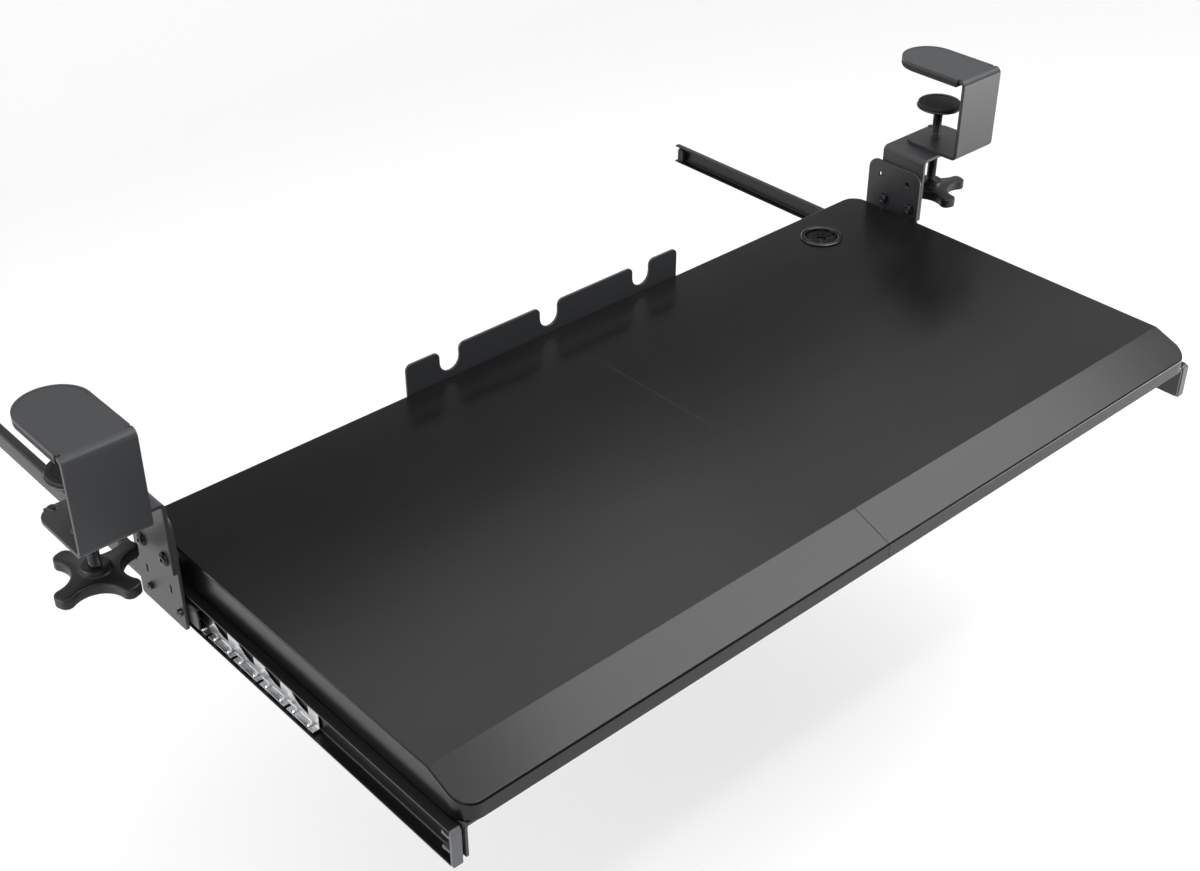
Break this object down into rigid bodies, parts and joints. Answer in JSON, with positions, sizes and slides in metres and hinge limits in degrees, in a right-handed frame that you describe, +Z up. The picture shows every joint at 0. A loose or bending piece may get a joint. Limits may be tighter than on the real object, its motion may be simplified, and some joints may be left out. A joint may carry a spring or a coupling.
{
  "type": "keyboard tray under desk",
  "caption": "Clamp-on under-desk keyboard tray: a wide board with a sloped front on ball-bearing slides, hung from screw clamps, with a cable guard and a cable grommet.",
  "frame": {"origin": "midway between the two clamps, where the plane of the desk's front face meets the plane of the desk's top; that is the inner face of the clamps' front plates and the underside of the jaw pads", "axes": "+X along the tray to the user's right, +Y back under the desk, +Z up"},
  "size_m": [0.8688, 0.5599, 0.173],
  "materials": {
    "black_laminate_board": "black fine-grained laminate on particle board, semi-gloss",
    "beech": "plain wood",
    "powder_coated_steel": "dark grey powder coat",
    "blackened_steel": "black zinc",
    "slide_steel": "smooth black coat",
    "zinc_plated_steel": "bright zinc",
    "bearing_steel": "polished",
    "black_plastic": "moulded, fine matt texture",
    "glossy_black_plastic": "moulded, glossy",
    "grey_plastic": "moulded, satin",
    "black_rubber": "matt"
  },
  "bodies": {
    "clamps_and_hangers": {"clamp_body_left": "powder_coated_steel", "clamp_body_right": "powder_coated_steel", "jaw_pad_left": "black_rubber", "jaw_pad_right": "black_rubber", "clamp_bracket_left": "powder_coated_steel", "clamp_bracket_right": "powder_coated_steel", "bracket_rivets_left": "blackened_steel", "bracket_rivets_right": "blackened_steel", "weld_nut_left": "powder_coated_steel", "weld_nut_right": "powder_coated_steel", "hanger_plate_left": "powder_coated_steel", "hanger_plate_right": "powder_coated_steel", "hanger_bolts_left": "blackened_steel", "hanger_bolts_right": "blackened_steel", "hanger_nuts_left": "blackened_steel", "hanger_nuts_right": "blackened_steel", "fixed_rail_left": "slide_steel", "fixed_rail_right": "slide_steel", "rail_rivets_left": "blackened_steel", "rail_rivets_right": "blackened_steel", "rail_stop_left": "black_plastic", "rail_stop_right": "black_plastic"},
    "tray": {"board_left": "black_laminate_board", "board_right": "black_laminate_board", "joining_dowels": "beech", "joining_plate_front": "powder_coated_steel", "joining_plate_rear": "powder_coated_steel", "joining_screws": "blackened_steel", "rear_cable_guard": "powder_coated_steel", "guard_screws": "blackened_steel", "grommet_ring": "glossy_black_plastic", "grommet_insert": "glossy_black_plastic", "rail_angle_left": "powder_coated_steel", "rail_angle_right": "powder_coated_steel", "rail_angle_screws_left": "blackened_steel", "rail_angle_screws_right": "blackened_steel", "slide_channel_left": "slide_steel", "slide_channel_right": "slide_steel", "channel_rivets_left": "blackened_steel", "channel_rivets_right": "blackened_steel", "slide_cap_left": "grey_plastic", "slide_cap_right": "grey_plastic"},
    "retainer_left": {"ball_retainer_left": "zinc_plated_steel", "slide_balls_left": "bearing_steel"},
    "pad_left": {"pressure_plate_left": "blackened_steel", "pressure_pad_left": "black_rubber"},
    "screw_left": {"clamp_screw_left": "blackened_steel", "knob_left": "black_plastic"},
    "retainer_right": {"ball_retainer_right": "zinc_plated_steel", "slide_balls_right": "bearing_steel"},
    "pad_right": {"pressure_plate_right": "blackened_steel", "pressure_pad_right": "black_rubber"},
    "screw_right": {"clamp_screw_right": "blackened_steel", "knob_right": "black_plastic"}
  },
  "joints": [
    {"name": "tray_slide", "type": "slide", "parent": "clamps_and_hangers", "child": "tray", "axis": [0, 1, 0], "range_m": [0, 0.237]},
    {"name": "retainer_left_slide", "type": "slide", "parent": "clamps_and_hangers", "child": "retainer_left", "axis": [0, 1, 0], "range_m": [0, 0.1185]},
    {"name": "pad_left_lift", "type": "slide", "parent": "clamps_and_hangers", "child": "pad_left", "axis": [0, 0, 1], "range_m": [-0.022, 0.018]},
    {"name": "screw_left_turn", "type": "hinge", "parent": "pad_left", "child": "screw_left", "pos_m": [-0.4023, 0.0378, -0.109], "axis": [0, 0, 1], "range_deg": [-6336, 5184]},
    {"name": "retainer_right_slide", "type": "slide", "parent": "clamps_and_hangers", "child": "retainer_right", "axis": [0, 1, 0], "range_m": [0, 0.1185]},
    {"name": "pad_right_lift", "type": "slide", "parent": "clamps_and_hangers", "child": "pad_right", "axis": [0, 0, 1], "range_m": [-0.022, 0.018]},
    {"name": "screw_right_turn", "type": "hinge", "parent": "pad_right", "child": "screw_right", "pos_m": [0.4023, 0.0378, -0.109], "axis": [0, 0, 1], "range_deg": [-6336, 5184]}
  ],
  "couplings": [
    {"joint": "retainer_left_slide", "follows": "tray_slide", "ratio": 0.5},
    {"joint": "pad_left_lift", "follows": "screw_left_turn", "m_per_rad": 0.00019894},
    {"joint": "retainer_right_slide", "follows": "tray_slide", "ratio": 0.5},
    {"joint": "pad_right_lift", "follows": "screw_right_turn", "m_per_rad": 0.00019894}
  ]
}
